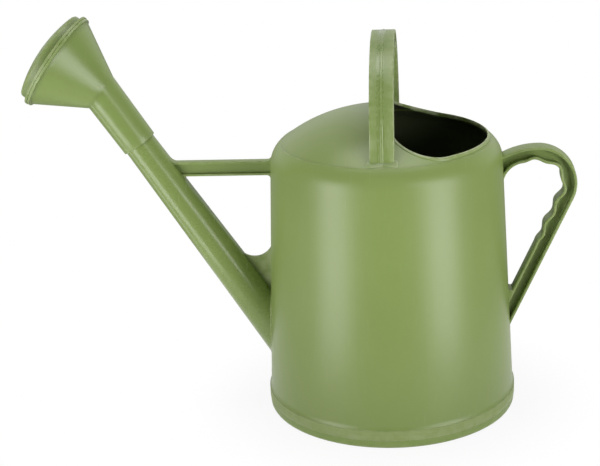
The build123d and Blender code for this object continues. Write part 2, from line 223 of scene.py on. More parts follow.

# Tank: a drafted shell with a rounded shoulder, a fine seam, a dome and a lipped, D-shaped filling mouth.
# Injection-moulded olive polyethylene, 2.6 mm thick, its inside painted dark as painted shade. A flange at
# the open foot, under a small concave flare, is the land that the base pan is welded to.
wall_foot_r, wall_foot_z, wall_top_r, wall_top_z, wall_t = 122.9, 23.64, 113.25, 252.0, 2.6
wall_lean = radians(2.42)
shoulder_x, shoulder_z, shoulder_r, shoulder_turn = 86.27, 250.86, 27.0, radians(52.2)
crown_x, crown_z, crown_r, crown_turn = 13.33, 156.83, 145.5, radians(80)
top_z, top_r = 81.2, 222.3
flange_r, flange_low, flange_top, flange_ledge = 124.7, 8.5, 18.5, 0.4
flare_x, flare_z, flare_r, flare_turn = 134.89, 24.145, 12.0, radians(27)
mouth_r, mouth_chord, mouth_corner, mouth_mid = 98.5, 7.5, 32.0, 50.0
lip_t, lip_h, lip_ease, lip_highlight_width, lip_highlight = 2.6, 1.6, 0.8, 0.96, 2.5
mouth_in_ease, mouth_in_step = 0.4, 0.3
seam_w, seam_h = 0.6, 0.12
tank_rays = np.linspace(-pi, pi, 480, endpoint=False)


def dome(r, inset=0.0):
    """Height of the tank's top at a distance from the axis, or of the inside of a wall of a thickness."""
    def ball_top(x, z, ball_r):
        return z + np.sqrt(np.maximum((ball_r - inset) ** 2 - (r - x) ** 2, 0))

    crown_edge = crown_x + (crown_r - inset) * cos(shoulder_turn)
    top_edge = crown_x + (crown_r - inset) * cos(crown_turn)
    shoulder = ball_top(shoulder_x, shoulder_z, shoulder_r)
    crown = np.where(r < crown_edge, ball_top(crown_x, crown_z, crown_r), shoulder)
    return np.where(r < top_edge, ball_top(0, top_z, top_r), crown)


def side(z):
    """Outside radius of the tank's wall and shoulder at a height."""
    wall = wall_foot_r + (wall_top_r - wall_foot_r) * (z - wall_foot_z) / (wall_top_z - wall_foot_z)
    shoulder = shoulder_x + np.sqrt(np.maximum(shoulder_r ** 2 - (z - shoulder_z) ** 2, 0))
    return np.where(z > wall_top_z, shoulder, wall)


def arc(x, z, r, start, end, steps):
    """Points along an arc."""
    return [(x + r * cos(a), z + r * sin(a)) for a in np.linspace(start, end, steps)]


def mouth_reach(grow):
    """Distances from the mouth's middle to its edge, moved outwards, along the tank's rays."""
    centre = np.array((mouth_chord + mouth_corner, 0.0))
    centre[1] = sqrt((mouth_r - mouth_corner) ** 2 - centre[0] ** 2)
    turn = atan2(centre[1], centre[0])
    edge = arc(0, 0, mouth_r + grow, 0, turn, 200)
    edge += arc(centre[0], centre[1], mouth_corner + grow, turn, pi, 200)
    edge += [(mouth_chord - grow, y) for y in np.linspace(centre[1], 0, 200)]
    edge = np.array(edge) - (mouth_mid, 0)
    return np.interp(np.abs(tank_rays), np.arctan2(edge[:, 1], edge[:, 0]), np.hypot(edge[:, 0], edge[:, 1]))


def circle_reach(r):
    """Distances from the mouth's middle to a circle about the tank's axis, along the tank's rays."""
    return np.sqrt(r ** 2 - (mouth_mid * np.sin(tank_rays)) ** 2) - mouth_mid * np.cos(tank_rays)


def lip_height(r):
    """Height of the lip's top, part of a ball that passes over the dome."""
    apex, rim = top_z + top_r + lip_h, float(dome(mouth_r)) + lip_h
    ball = (mouth_r ** 2 + (apex - rim) ** 2) / (2 * (apex - rim))
    return apex - ball + np.sqrt(ball ** 2 - r ** 2)


def tank_ring(reach, height, *rest):
    """Ring of the tank's top at distances along the rays, with its height from a rule."""
    x, y = mouth_mid + reach * np.cos(tank_rays), reach * np.sin(tank_rays)
    return np.stack([x, y, height(np.hypot(x, y), *rest)], 1)


crown_edge_r = crown_x + crown_r * cos(shoulder_turn)
inner_edge_r = crown_x + (crown_r - wall_t) * cos(shoulder_turn)
edge_reach, lip_reach, in_reach = circle_reach(crown_edge_r), mouth_reach(lip_t), mouth_reach(0)
tank_angles = np.arctan2(edge_reach * np.sin(tank_rays), mouth_mid + edge_reach * np.cos(tank_rays))
inner_foot_r = float(side(flange_low)) - wall_t
flange_edge = [(flange_r, flange_low, 0.6), (flange_r, flange_top, 0.8),
               (flange_r - flange_ledge, flange_top + 0.1, 0.1)]
flange_outline = eased(flange_edge + [(inner_foot_r, flange_top, 0), (inner_foot_r, flange_low, 0)])
tank_outline = [(inner_foot_r, flange_low)]
tank_outline += [tuple(point) for point in flange_outline[:len(flange_edge) * corner_points]]
tank_outline += arc(flare_x, flare_z, flare_r, pi + flare_turn, pi + wall_lean, 10)
tank_outline += [(float(side(z)), z) for z in np.linspace(wall_foot_z, wall_top_z, 9)[1:-1]]
tank_outline += arc(shoulder_x, shoulder_z, shoulder_r, wall_lean, shoulder_turn - seam_w / shoulder_r, 18)
tank_outline += arc(shoulder_x, shoulder_z, shoulder_r + seam_h, shoulder_turn, shoulder_turn, 1)
tank_rings = spun(tank_outline, tank_angles)
dome_reach = circle_reach(crown_edge_r - seam_w)
for share in np.linspace(0, 1, 30):
    tank_rings.append(tank_ring(dome_reach + share * (lip_reach - dome_reach), dome))
lip_rise = tank_ring(lip_reach, lip_height)[:, 2] - tank_rings[-1][:, 2]
lip_round = np.minimum(lip_ease, corner_share * lip_rise)
for base, sink, drop in (
        (lip_reach, 0, 1), (lip_reach, -0.1, 0.4), (lip_reach, -0.4, 0.1), (lip_reach, -1, 0),
        (in_reach, 1, 0), (in_reach, 0.4, 0.1), (in_reach, 0.1, 0.4), (in_reach, 0, 1)):
    tank_rings.append(tank_ring(base + sink * lip_round, lip_height) - np.outer(drop * lip_round, (0, 0, 1)))
tank_rings.append(tank_ring(in_reach, dome, wall_t - mouth_in_ease))
under_lip = in_reach + mouth_in_step
for share in np.linspace(0, 1, 12):
    tank_rings.append(tank_ring(under_lip + share * (circle_reach(inner_edge_r) - under_lip), dome, wall_t))
tank_inside = arc(shoulder_x, shoulder_z, shoulder_r - wall_t, shoulder_turn, wall_lean, 12)
tank_inside += [(float(side(z)) - wall_t, z) for z in np.linspace(wall_top_z, flange_low, 8)[1:-1]]
tank_rings += spun(tank_inside, tank_angles)
# The inside's green is much darker than the tank's: painted shade for the unlit inside of the tank.
tank_green, flange_green, inside_shade_green = (0.224, 0.302, 0.083), (0.25, 0.325, 0.1), (0.10, 0.12, 0.058)
tank_finish = olive_finish("olive_tank", tank_green, 0.37, wear_and_highlight=0.6, recess_shade=0.08)
flange_finish = olive_finish("olive_flange", flange_green, 0.4, flow=(0.08, 0.08, 5), flow_depth=0.04,
                             streak=0.35)
inside_shade_finish = olive_finish("olive_tank_inside_painted_shade", inside_shade_green, 0.5)
tank = dressed(woven("tank", tank_rings), tank_finish, flange_top - 0.5)
# A thin band along the inner edge of the mouth's lip is marked strongly, so it goes pale: a painted highlight
# on the lip.
x, y, z = np.array([vert.co for vert in tank.data.vertices]).T / mm
from_edge = np.hypot(x - mouth_mid, y) - np.interp(np.arctan2(y, x - mouth_mid), tank_rays, in_reach)
for index in np.flatnonzero((np.abs(from_edge) < lip_highlight_width) & (z > dome(np.hypot(x, y)))):
    tank.data.attributes["rub_and_highlight"].data[index].value = lip_highlight

# The spout's line is given here, because its bore is drilled through the tank's wall.
spout_x, spout_z, spout_length = -120.353, 83.9, 279.9
spout_root_r, spout_tip_r, spout_wall = 19.7, 14.9, 2.2
spout_on = np.array((-0.545663, 0, 0.838005))
spout_under = np.array((-0.838005, 0, -0.545663))
drill_span = (-40, 70)


def spout_radius(s):
    """Outside radius of the spout at a distance from its root."""
    return spout_root_r + (spout_tip_r - spout_root_r) * s / spout_length


def spout_ring(s, angles, inset=0.0):
    """Ring of points on the spout at distances from its root, or on its bore."""
    s = np.broadcast_to(s, angles.shape)
    r = spout_radius(s) - inset
    return (np.array((spout_x, 0, spout_z)) + np.outer(s, spout_on)
            + np.outer(r * np.cos(angles), spout_under) + np.outer(r * np.sin(angles), (0, 1, 0)))


drill = woven("drill", [spout_ring(s, full_turn(64), spout_wall) for s in drill_span], capped=True)
drilling = bmesh.new()
drilling.from_mesh(drill.data)
bmesh.ops.recalc_face_normals(drilling, faces=drilling.faces)
drilling.to_mesh(drill.data)
drilling.free()
hole = tank.modifiers.new("spout_hole", "BOOLEAN")
hole.object, hole.operation, hole.solver = drill, "DIFFERENCE", "EXACT"
tank_solid = bpy.data.meshes.new_from_object(tank.evaluated_get(bpy.context.evaluated_depsgraph_get()))
tank.modifiers.clear()
tank.data = tank_solid
tank.data.materials.append(flange_finish)
tank.data.materials.append(inside_shade_finish)
# Faces well inside the wall take the inside's dark green: the painted shade.
skin_depth = 0.6 * wall_t
for patch in tank.data.polygons:
    x, y, z = patch.center / mm
    r = np.hypot(x, y)
    if z < flange_top:
        patch.material_index = 1
    elif z < dome(r) - skin_depth and r < side(z) - skin_depth:
        patch.material_index = 2
tank.data.set_sharp_from_angle(angle=crisp_fold)
bpy.data.objects.remove(drill)
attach(tank, "can")
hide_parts("tank_body")

# Weld flash: the beads of molten plastic that were squeezed out when the pan was welded to the flange.
# The same olive polyethylene, a little paler, in uneven beads stuck under the flange's edge all round.
flash_r, flash_z, flash_bead, flash_count, flash_seed = 124.45, 8.7, 0.45, 300, 7
flash_drift = Vector((0.1, 0.1, 0.5)) * mm
flash_least, flash_most = (0.5, 0.8, 0.4), (1.0, 3.5, 1.2)
flash_green = (0.36, 0.44, 0.2)
flash_finish = olive_finish("olive_flash", flash_green, 0.4)


def new_tree(name, inputs):
    """Geometry Nodes tree with named inputs: the tree, its inputs as wires, and their identifiers."""
    tree = bpy.data.node_groups.new(name, "GeometryNodeTree")
    ids = {}
    for label, kind in inputs.items():
        socket = tree.interface.new_socket(label, in_out="INPUT", socket_type="NodeSocket" + kind)
        ids[label] = socket.identifier
    tree.interface.new_socket("Geometry", in_out="OUTPUT", socket_type="NodeSocketGeometry")
    given = tree.nodes.new("NodeGroupInput")
    return tree, {label: Wire(tree, given.outputs[label]) for label in inputs}, ids


def grown(piece, tree, ids, shape, finish, values):
    """Ends a tree in a finished plain shape, runs it on a piece with its values, and keeps its mesh."""
    whole = shape.add("GeometryNodeRealizeInstances", {}, {"Geometry": shape})
    painted = shape.add("GeometryNodeSetMaterial", {}, {"Geometry": whole, "Material": finish})
    tree.links.new(painted.socket, tree.nodes.new("NodeGroupOutput").inputs[0])
    growth = piece.modifiers.new(tree.name, "NODES")
    growth.node_group = tree
    for label, value in values.items():
        growth[ids[label]] = value
    mesh = bpy.data.meshes.new_from_object(piece.evaluated_get(bpy.context.evaluated_depsgraph_get()))
    piece.modifiers.clear()
    piece.data = mesh
    return piece


weld, given, weld_ids = new_tree("weld_flash", {
    "Ring Radius": "Float", "Bead Radius": "Float", "Count": "Int", "Seed": "Int", "Seat": "Vector",
    "Finish": "Material"})
wire = Wire(weld)
seam = wire.add("GeometryNodeMeshCircle", {}, {"Vertices": given["Count"], "Radius": given["Ring Radius"]})
drift = wire.add("FunctionNodeRandomValue", {"data_type": "FLOAT_VECTOR"},
                 {0: -flash_drift, 1: flash_drift, "Seed": given["Seed"]})
spots = wire.add("GeometryNodeSetPosition", {}, {"Geometry": seam, "Offset": drift})
round_turn = wire.add("FunctionNodeAlignRotationToVector", {"axis": "X"},
                      {"Vector": wire.add("GeometryNodeInputPosition")})
bead = wire.add("GeometryNodeMeshIcoSphere", {}, {"Radius": given["Bead Radius"], "Subdivisions": 1})
bead_size = wire.add("FunctionNodeRandomValue", {"data_type": "FLOAT_VECTOR"},
                     {0: flash_least, 1: flash_most, "Seed": given["Seed"]})
beads = wire.add("GeometryNodeInstanceOnPoints", {},
                 {"Points": spots, "Instance": bead, "Rotation": round_turn, "Scale": bead_size})
beads = wire.add("GeometryNodeTransform", {}, {"Geometry": beads, "Translation": given["Seat"]})
flash = bpy.data.objects.new("weld_flash", bpy.data.meshes.new("weld_flash"))
bpy.context.scene.collection.objects.link(flash)
grown(flash, weld, weld_ids, beads, given["Finish"], {
    "Ring Radius": flash_r * mm, "Bead Radius": flash_bead * mm, "Count": flash_count, "Seed": flash_seed,
    "Seat": (0, 0, flash_z * mm), "Finish": flash_finish})
flash.data.shade_smooth()
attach(flash, "can")

# Spout: a straight tapered pipe that rises from the foot of the wall, open into the tank.
# The tank's olive polyethylene, moulded in one with it, with a small fillet where it leaves the wall.
spout_fillet, spout_sink, spout_ease, bore_ease = 3.0, 0.2, 0.6, 0.4
spout_angles = full_turn(192)


def closed_in(low, high, past):
    """Place between a low and a high one at which a test starts to hold, found by halving."""
    for _ in range(50):
        middle = (low + high) / 2
        beyond = past(middle)
        low, high = np.where(beyond, low, middle), np.where(beyond, middle, high)
    return (low + high) / 2


def spout_meets_wall(inset=0.0):
    """Distances from the root at which the spout's lines, or its bore's, meet the tank's skin."""
    def outside(s):
        points = spout_ring(s, spout_angles, inset)
        return np.hypot(points[:, 0], points[:, 1]) > side(points[:, 2])

    return closed_in(np.full(len(spout_angles), -60.0), np.full(len(spout_angles), 90.0), outside)


root_s, bore_s = spout_meets_wall(), spout_meets_wall(spout_wall)
corner = spout_ring(root_s, spout_angles)
on_pipe = spout_ring(root_s + spout_fillet, spout_angles)
away = np.outer(np.cos(spout_angles), spout_under) + np.outer(np.sin(spout_angles), (0, 1, 0))
out = corner * (1, 1, 0) / np.linalg.norm(corner[:, :2], axis=1)[:, None]
away -= np.sum(away * out, 1)[:, None] * out
on_wall = corner + spout_fillet * away / np.linalg.norm(away, axis=1)[:, None]
on_wall[:, :2] *= ((side(on_wall[:, 2]) - spout_sink) / np.linalg.norm(on_wall[:, :2], axis=1))[:, None]
spout_rings = []
for t in np.linspace(0, 1, 8):
    spout_rings.append((1 - t) ** 2 * on_wall + 2 * t * (1 - t) * corner + t ** 2 * on_pipe)
for share in np.linspace(0, 1, 16)[1:]:
    s = (root_s + spout_fillet) * (1 - share) + (spout_length - spout_ease) * share
    spout_rings.append(spout_ring(s, spout_angles))
for step, inset in ((0.2, 0.15), (0, spout_ease), (0, spout_wall - bore_ease), (bore_ease, spout_wall)):
    spout_rings.append(spout_ring(spout_length - step, spout_angles, inset))
for share in np.linspace(0, 1, 8)[1:]:
    s = (spout_length - bore_ease) * (1 - share) + bore_s * share
    spout_rings.append(spout_ring(s, spout_angles, spout_wall))
spout_green = (0.218, 0.296, 0.08)
spout_finish = olive_finish("olive_spout", spout_green, 0.27)
spout = dressed(woven("spout", spout_rings), spout_finish)
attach(spout, "can")
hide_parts("spout_tube")

# Brace: the I-section strut that ties the spout to the wall, under the shoulder.
# The same olive polyethylene, moulded in one with both, with a small fillet at each end of its flanges.
brace_mid_z, brace_h, brace_w, brace_flange, brace_web = 245.8, 14.5, 9.0, 2.2, 2.5
brace_fillet, brace_sink, brace_skin = 4.0, 1.0, 0.3
spout_half_most = 60


def i_section(out_low, out_high, in_low, in_high, half, web, ease=0.55):
    """Outline of an I-section as (depth, width): two flanges between depths, joined by a web."""
    depths = (out_low, out_high, out_high, in_low, in_low, in_high)
    widths = (half, half, web, web, half, half)
    edge = [(d, w, ease) for d, w in zip(depths, widths)]
    return eased(edge + [(d, -w, e) for d, w, e in edge[::-1]], 4)


def along_spout(y, z):
    """Where the spout's upper side stands at a width and a height."""
    def outside(x):
        s = (x - spout_x) * spout_on[0] + (z - spout_z) * spout_on[2]
        off = (x - spout_x) * spout_under[0] + (z - spout_z) * spout_under[2]
        return np.hypot(off, y) > spout_radius(s)

    axis_x = spout_x + (z - spout_z) * spout_on[0] / spout_on[2]
    return closed_in(axis_x, axis_x + spout_half_most, outside)


brace_section = i_section(-brace_h / 2, -brace_h / 2 + brace_flange, brace_h / 2 - brace_flange, brace_h / 2,
                          brace_w / 2, brace_web / 2)
depth, y = brace_section.T
brace_near = np.array((0, 0.6, 1.2, 1.9, 2.7, 3.5, 4.2, 5.0)) + brace_sink
brace_rings = []
brace_steps = [(True, near) for near in (0.0, *brace_near)]
brace_steps += [(False, near) for near in (*brace_near[::-1], 0.0)]
for at_spout, near in brace_steps:
    bend = max(brace_fillet - max(near - brace_sink, 0), 0)
    flare = brace_fillet - sqrt(brace_fillet ** 2 - bend ** 2)
    z = brace_mid_z + depth + np.where(np.abs(depth) > brace_h / 2 - brace_skin, np.sign(depth) * flare, 0)
    if at_spout:
        x = along_spout(y, z) - brace_sink + near
    else:
        x = -np.sqrt(side(z) ** 2 - y ** 2) + brace_sink - near
    brace_rings.append(np.stack([x, y, z], 1))
# The brace's nooks take more painted shade.
brace_finish = olive_finish("olive_brace", spout_green, 0.42, recess_shade=0.35)
brace = dressed(woven("brace", brace_rings, capped=True), brace_finish)
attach(brace, "can")
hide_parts("spout_brace")

# Gusset: the thin web with a concave edge in the corner between the spout and the wall.
# The same olive polyethylene, moulded in one with both, and eased along its edge.
gusset_t, gusset_r, gusset_sink = 4.0, 18.7, 1.0
pipe_way, pipe_under = spout_on[[0, 2]], spout_under[[0, 2]]
wall_way = np.array((wall_foot_r - wall_top_r, wall_top_z - wall_foot_z))
wall_way /= np.linalg.norm(wall_way)
taper_way = pipe_way + pipe_under * ((spout_root_r - spout_tip_r) / spout_length)
taper_way /= np.linalg.norm(taper_way)
wall_at = np.array((spout_x + gusset_sink, spout_z))
pipe_at = np.array((spout_x, spout_z)) - pipe_under * (spout_root_r - gusset_sink)
along = np.linalg.solve(np.stack([wall_way, -taper_way], 1), pipe_at - wall_at)
gusset_corner = wall_at + wall_way * along[0]
half_angle = np.arccos(wall_way @ taper_way) / 2
middle_way = (wall_way + taper_way) / np.linalg.norm(wall_way + taper_way)
gusset_c = gusset_corner + middle_way * gusset_r / sin(half_angle)
ends = [gusset_corner + way * gusset_r / tan(half_angle) for way in (wall_way, taper_way)]
spans = [atan2(*(end - gusset_c)[::-1]) for end in ends]
spans[1] -= 2 * pi if spans[1] > spans[0] else 0
gusset_rings = []
for share, inset in ((-1, 0.7), (-0.925, 0.25), (-0.7, 0), (0.7, 0), (0.925, 0.25), (1, 0.7)):
    edge = np.array([gusset_corner] + arc(gusset_c[0], gusset_c[1], gusset_r + inset, spans[0], spans[1], 32))
    gusset_rings.append(np.stack([edge[:, 0], np.full(len(edge), share * gusset_t / 2), edge[:, 1]], 1))
# The gusset's green is darker than the spout's, as painted shade for its corner between the spout and the
# wall.
gusset_shaded_green = (0.18, 0.245, 0.06)
gusset_finish = olive_finish("olive_gusset", gusset_shaded_green, 0.44)
gusset = dressed(woven("gusset", gusset_rings, capped=True), gusset_finish)
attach(gusset, "can")
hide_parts("spout_gusset")

# Rear handle: the ear-shaped I-section loop behind the tank, with five finger grips along its inner flange.
# The tank's olive polyethylene, moulded in one with it. Its top root swells into the wall, and its arm
# runs out down the wall.
ear_x, ear_z, ear_r, ear_top_z, ear_top_r = 147.23, 226.3, 37.2, 188.5, 75.0
ear_side, ear_depth, ear_w, ear_flange, ear_web, ear_ease = radians(-24.9), 13.7, 18.0, 2.8, 4.0, 0.9
ear_root_r, ear_root_end, ear_crotch_r, crotch_span, ear_sink = 22.0, radians(132), 2.6, 10.7, 1.0
ear_grip_arm, ear_grip_end, ear_grips, grip_depth = 58.0, radians(106), 5, 3.2
crotch_round, arm_tip_gap, past_wall, far_off = 0.97 * ear_crotch_r, 0.2, 99, 200.0


def grip_bite(share, count):
    """How far a row of finger grips bites into its flange at a share of the row. Both ends fade out."""
    if not 0 < share < 1:
        return 0
    return -grip_depth / 2 * min(1, 2 * count * min(share, 1 - share)) * cos(2 * pi * count * share)


def to_wall(x, z, way_x, way_z):
    """Distance along a way from a point to just inside the tank's wall, behind the can."""
    def in_wall(d):
        return x + d * way_x < side(z + d * way_z) - ear_sink

    began_in = in_wall(0)
    return float(closed_in(0.0, far_off, lambda d: in_wall(d) != began_in))


bow_in_r, top_in_r = ear_r - ear_depth, ear_top_r - ear_depth
bow_length = bow_in_r * (pi / 2 - ear_side)
grip_row = ear_grip_arm + bow_length + top_in_r * (ear_grip_end - pi / 2)
ear_out = np.array((cos(ear_side), sin(ear_side)))
arm_way = np.array((sin(ear_side), -cos(ear_side)))
arm_top = np.array((ear_x, ear_z)) + ear_r * ear_out
arm_length = to_wall(*arm_top, *arm_way)
crotch = to_wall(*(arm_top - ear_depth * ear_out), *arm_way)
ear_rings = []


def add_ear_ring(base, out_way, depths):
    """Adds an I-section across the loop, its depths measured inwards from its outside."""
    section = i_section(*depths, ear_w / 2, ear_web / 2, ear_ease)
    points = base - np.outer(section[:, 0], out_way)
    ear_rings.append(np.stack([points[:, 0], section[:, 1], points[:, 1]], 1))


for down in np.linspace(arm_length - arm_tip_gap, 0, 90, endpoint=False):
    base = arm_top + down * arm_way
    depth = ear_depth - grip_bite((ear_grip_arm - down) / grip_row, ear_grips)
    free, left = depth, crotch_span - (crotch - down)
    if left > 0:
        free += ear_crotch_r - sqrt(ear_crotch_r ** 2 - left ** 2) if left < crotch_round else past_wall
    wall_depth = to_wall(*base, *-ear_out)
    add_ear_ring(base, ear_out, [min(d, wall_depth) for d in (0, ear_flange, depth - ear_flange, free)])
for angle in np.linspace(ear_side, pi / 2, 90, endpoint=False):
    out_way = np.array((cos(angle), sin(angle)))
    depth = ear_depth - grip_bite((ear_grip_arm + bow_in_r * (angle - ear_side)) / grip_row, ear_grips)
    base = np.array((ear_x, ear_z)) + ear_r * out_way
    add_ear_ring(base, out_way, (0, ear_flange, depth - ear_flange, depth))
root_way = ear_top_r - ear_depth - ear_root_r
root_turn = pi - np.arccos((ear_x - float(side(ear_z)) + ear_sink - ear_root_r) / root_way)
for angle in np.linspace(pi / 2, ear_root_end, 60):
    out_way = np.array((cos(angle), sin(angle)))
    share = (ear_grip_arm + bow_length + top_in_r * (angle - pi / 2)) / grip_row
    depth = ear_depth - grip_bite(share, ear_grips)
    pocket = depth - ear_flange
    if angle > root_turn:
        lead = root_way * cos(angle - root_turn)
        swells = (ear_root_r, ear_root_r + ear_flange)
        depth, pocket = (ear_top_r - lead - sqrt(max(lead ** 2 - root_way ** 2 + r ** 2, 0)) for r in swells)
    start = max(ear_top_r - to_wall(ear_x, ear_top_z, *out_way), 0)
    base = np.array((ear_x, ear_top_z)) + ear_top_r * out_way
    add_ear_ring(base, out_way, [max(d, start) for d in (0, ear_flange, pocket, depth)])
ear_green = (0.216, 0.294, 0.078)
ear_finish = olive_finish("olive_rear_handle", ear_green, 0.43)
ear = dressed(woven("rear_handle_loop", ear_rings, capped=True), ear_finish)
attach(ear, "can")
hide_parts("rear_handle")

# Top handle: the arched I-section hoop across the can, with four finger grips under its top.
# Moulded apart in olive polyethylene, with a parting ridge along its outside and a shiny band beside it, and
# welded to the dome by its feet, each with a small pad round its outer flange.
hoop_z, hoop_r, hoop_depth, hoop_flange, hoop_web = 280.5, 97.5, 15.0, 3.0, 4.5
hoop_foot_w, hoop_top_w, hoop_bevel = 22.6, 22.4, 0.9
ridge_w, ridge_h, ridge_slope = 1.6, 0.4, 0.5
hoop_grip_turn, hoop_grips, hoop_low, hoop_sink = radians(33), 4, 266.0, 1.2
pad_w, pad_h, pad_round = 3.4, 1.2, 2.0
shiny_x, shiny_half, shiny_fade, shiny_gain = -1.2, 2.6, 1.6, 0.17
hoop_rings = []


def add_hoop_ring(base, out_way, bite):
    """Adds a section across the hoop, let into the dome at its feet."""
    depth = hoop_depth - bite
    half = (hoop_foot_w + (hoop_foot_w - hoop_top_w) / hoop_r * (hoop_z - base[1])) / 2
    ridge, web = ridge_w / 2, hoop_web / 2
    edge = [(0, half, hoop_bevel), (hoop_flange, half, 0.5), (hoop_flange, web, 0.6),
            (depth - hoop_flange, web, 0.6), (depth - hoop_flange, half, 0.5), (depth, half, 0.8)]
    top = [(0, -ridge - ridge_slope, 0.3), (-ridge_h, -ridge, 0.2), (-ridge_h, ridge, 0.2),
           (0, ridge + ridge_slope, 0.3)]
    section = eased(top + edge + [(d, -w, e) for d, w, e in edge[::-1]], 4)
    points = base - np.outer(section[:, 0], out_way)
    x, y, z = section[:, 1], points[:, 0], points[:, 1]
    hoop_rings.append(np.stack([x, y, np.maximum(z, dome(np.hypot(x, y)) - hoop_sink)], 1))


for z in np.linspace(hoop_low, hoop_z, 12, endpoint=False):
    add_hoop_ring(np.array((hoop_r, z)), np.array((1.0, 0)), 0)
for angle in np.linspace(0, pi, 181):
    out_way = np.array((cos(angle), sin(angle)))
    share = (angle - pi / 2 + hoop_grip_turn) / (2 * hoop_grip_turn)
    add_hoop_ring(np.array((0, hoop_z)) + hoop_r * out_way, out_way, grip_bite(share, hoop_grips))
for z in np.linspace(hoop_z, hoop_low, 13)[1:]:
    add_hoop_ring(np.array((-hoop_r, z)), np.array((-1.0, 0)), 0)
hoop_green = (0.208, 0.288, 0.076)
# The hoop's edges go pale, partly as wear and partly as painted highlight, and its recesses go dark as
# painted shade.
hoop_finish = olive_finish("olive_top_handle", hoop_green, 0.29, flow=(4, 4, 0.15), flow_depth=0.1, wear_and_highlight=0.9,
                           streak=0.2, recess_shade=0.7)
hoop_wire = Wire(hoop_finish.node_tree)
hoop_skin = hoop_finish.node_tree.nodes["Principled BSDF"]
hoop_dull = Wire(hoop_finish.node_tree, hoop_skin.inputs["Roughness"].links[0].from_socket)
hoop_place = hoop_wire.add("ShaderNodeTexCoord", out="Object")
from_middle = hoop_wire.add("ShaderNodeSeparateXYZ", {}, {0: hoop_place}, out="X") - shiny_x * mm
shiny = hoop_wire.add("ShaderNodeMapRange", {"interpolation_type": "SMOOTHSTEP"}, {
    "Value": hoop_wire.math("ABSOLUTE", from_middle, 0), "From Min": (shiny_half + shiny_fade) * mm,
    "From Max": shiny_half * mm})
hoop_finish.node_tree.links.new((hoop_dull - shiny * shiny_gain).socket, hoop_skin.inputs["Roughness"])
hoop = dressed(woven("top_handle_hoop", hoop_rings, capped=True), hoop_finish)
pads = []
for sign in (1, -1):
    half_x, half_y = hoop_foot_w / 2 + pad_w, (hoop_flange + pad_w) / 2
    mid_y = sign * (hoop_r + (pad_w - hoop_flange) / 2)
    pad_rings = []
    for inset, lift in ((0, -hoop_sink), (0, pad_h - 0.7), (0.2, pad_h - 0.2), (0.7, pad_h), (1.9, pad_h)):
        wide, deep = half_x - inset, half_y - inset
        plan = eased([(wide, deep, pad_round), (-wide, deep, pad_round), (-wide, -deep, pad_round),
                      (wide, -deep, pad_round)], 7)
        x, y = plan[:, 0], plan[:, 1] + mid_y
        pad_rings.append(np.stack([x, y, dome(np.hypot(x, y)) + lift], 1))
    pads.append(dressed(woven("top_handle_pad", pad_rings, capped=True), hoop_finish))
joined = bmesh.new()
for part in (hoop, *pads):
    joined.from_mesh(part.data)
joined.to_mesh(hoop.data)
joined.free()
for pad in pads:
    bpy.data.objects.remove(pad)
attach(hoop, "can")
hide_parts("top_handle")

# Rose funnel: the sleeve that pushes on to the spout's end, bent at its neck into a cone with a flanged rim.
# Injection-moulded olive polyethylene, held by its taper and free to be turned or pulled off.
# The rim holds the rose's face, and a ledge inside stops it.
rose_at = np.array((-277.832, 0, 325.748))
rose_turn, rose_bend, funnel_turn = radians(11), radians(21.3), radians(30.4)
rose_on = spout_on
rose_x = cos(rose_turn) * spout_under + sin(rose_turn) * np.array((0, 1, 0))
rose_y = np.cross(rose_on, rose_x)
funnel_on = cos(rose_bend) * rose_on + sin(rose_bend) * rose_x
funnel_x = cos(rose_bend) * rose_x - sin(rose_bend) * rose_on
funnel_y = rose_y
sleeve_low, sleeve_mouth_r, sleeve_neck_r, sleeve_end = -64.0, 17.75, 18.65, -8.7
sleeve_bore_r, sleeve_seat_r, sleeve_way_r = 15.9, 14.95, 12.7
sleeve_ease, sleeve_cut, sleeve_lead, neck_before, neck_after = 0.5, 0.12, 0.3, 0.4, 0.3
funnel_neck_r, funnel_slope, funnel_length, funnel_wall = 20.2, tan(funnel_turn), 48.407, 2.4
rim_r, rim_t, rim_ledge_r, rim_seat_r, rim_ease = 50.4, 2.8, 45.0, 46.95, 0.4
rose_angles = full_turn(256)


def sleeve_ring(r, h):
    """Ring round the sleeve's axis at distances past the bend."""
    h = np.broadcast_to(h, rose_angles.shape)
    return (rose_at + np.outer(h, rose_on) + r * np.outer(np.cos(rose_angles), rose_x)
            + r * np.outer(np.sin(rose_angles), rose_y))


def in_cone(h):
    """Whether the sleeve's lines have gone into the funnel's cone at distances past the bend."""
    reach = sleeve_ring(sleeve_neck_r, h) - rose_at
    t = reach @ funnel_on
    return np.linalg.norm(reach - np.outer(t, funnel_on), axis=1) < funnel_neck_r + t * funnel_slope


neck_h = closed_in(np.full(len(rose_angles), -40.0), np.full(len(rose_angles), 40.0), in_cone)
neck = sleeve_ring(sleeve_neck_r, neck_h) - rose_at
neck_t = neck @ funnel_on
neck_turn = np.arctan2(neck @ funnel_y, neck @ funnel_x)


def funnel_ring(r, t):
    """Ring round the funnel's axis, on the lines that run on from the sleeve's."""
    r, t = np.broadcast_to(r, neck_turn.shape), np.broadcast_to(t, neck_turn.shape)
    return (rose_at + np.outer(t, funnel_on) + np.outer(r * np.cos(neck_turn), funnel_x)
            + np.outer(r * np.sin(neck_turn), funnel_y))


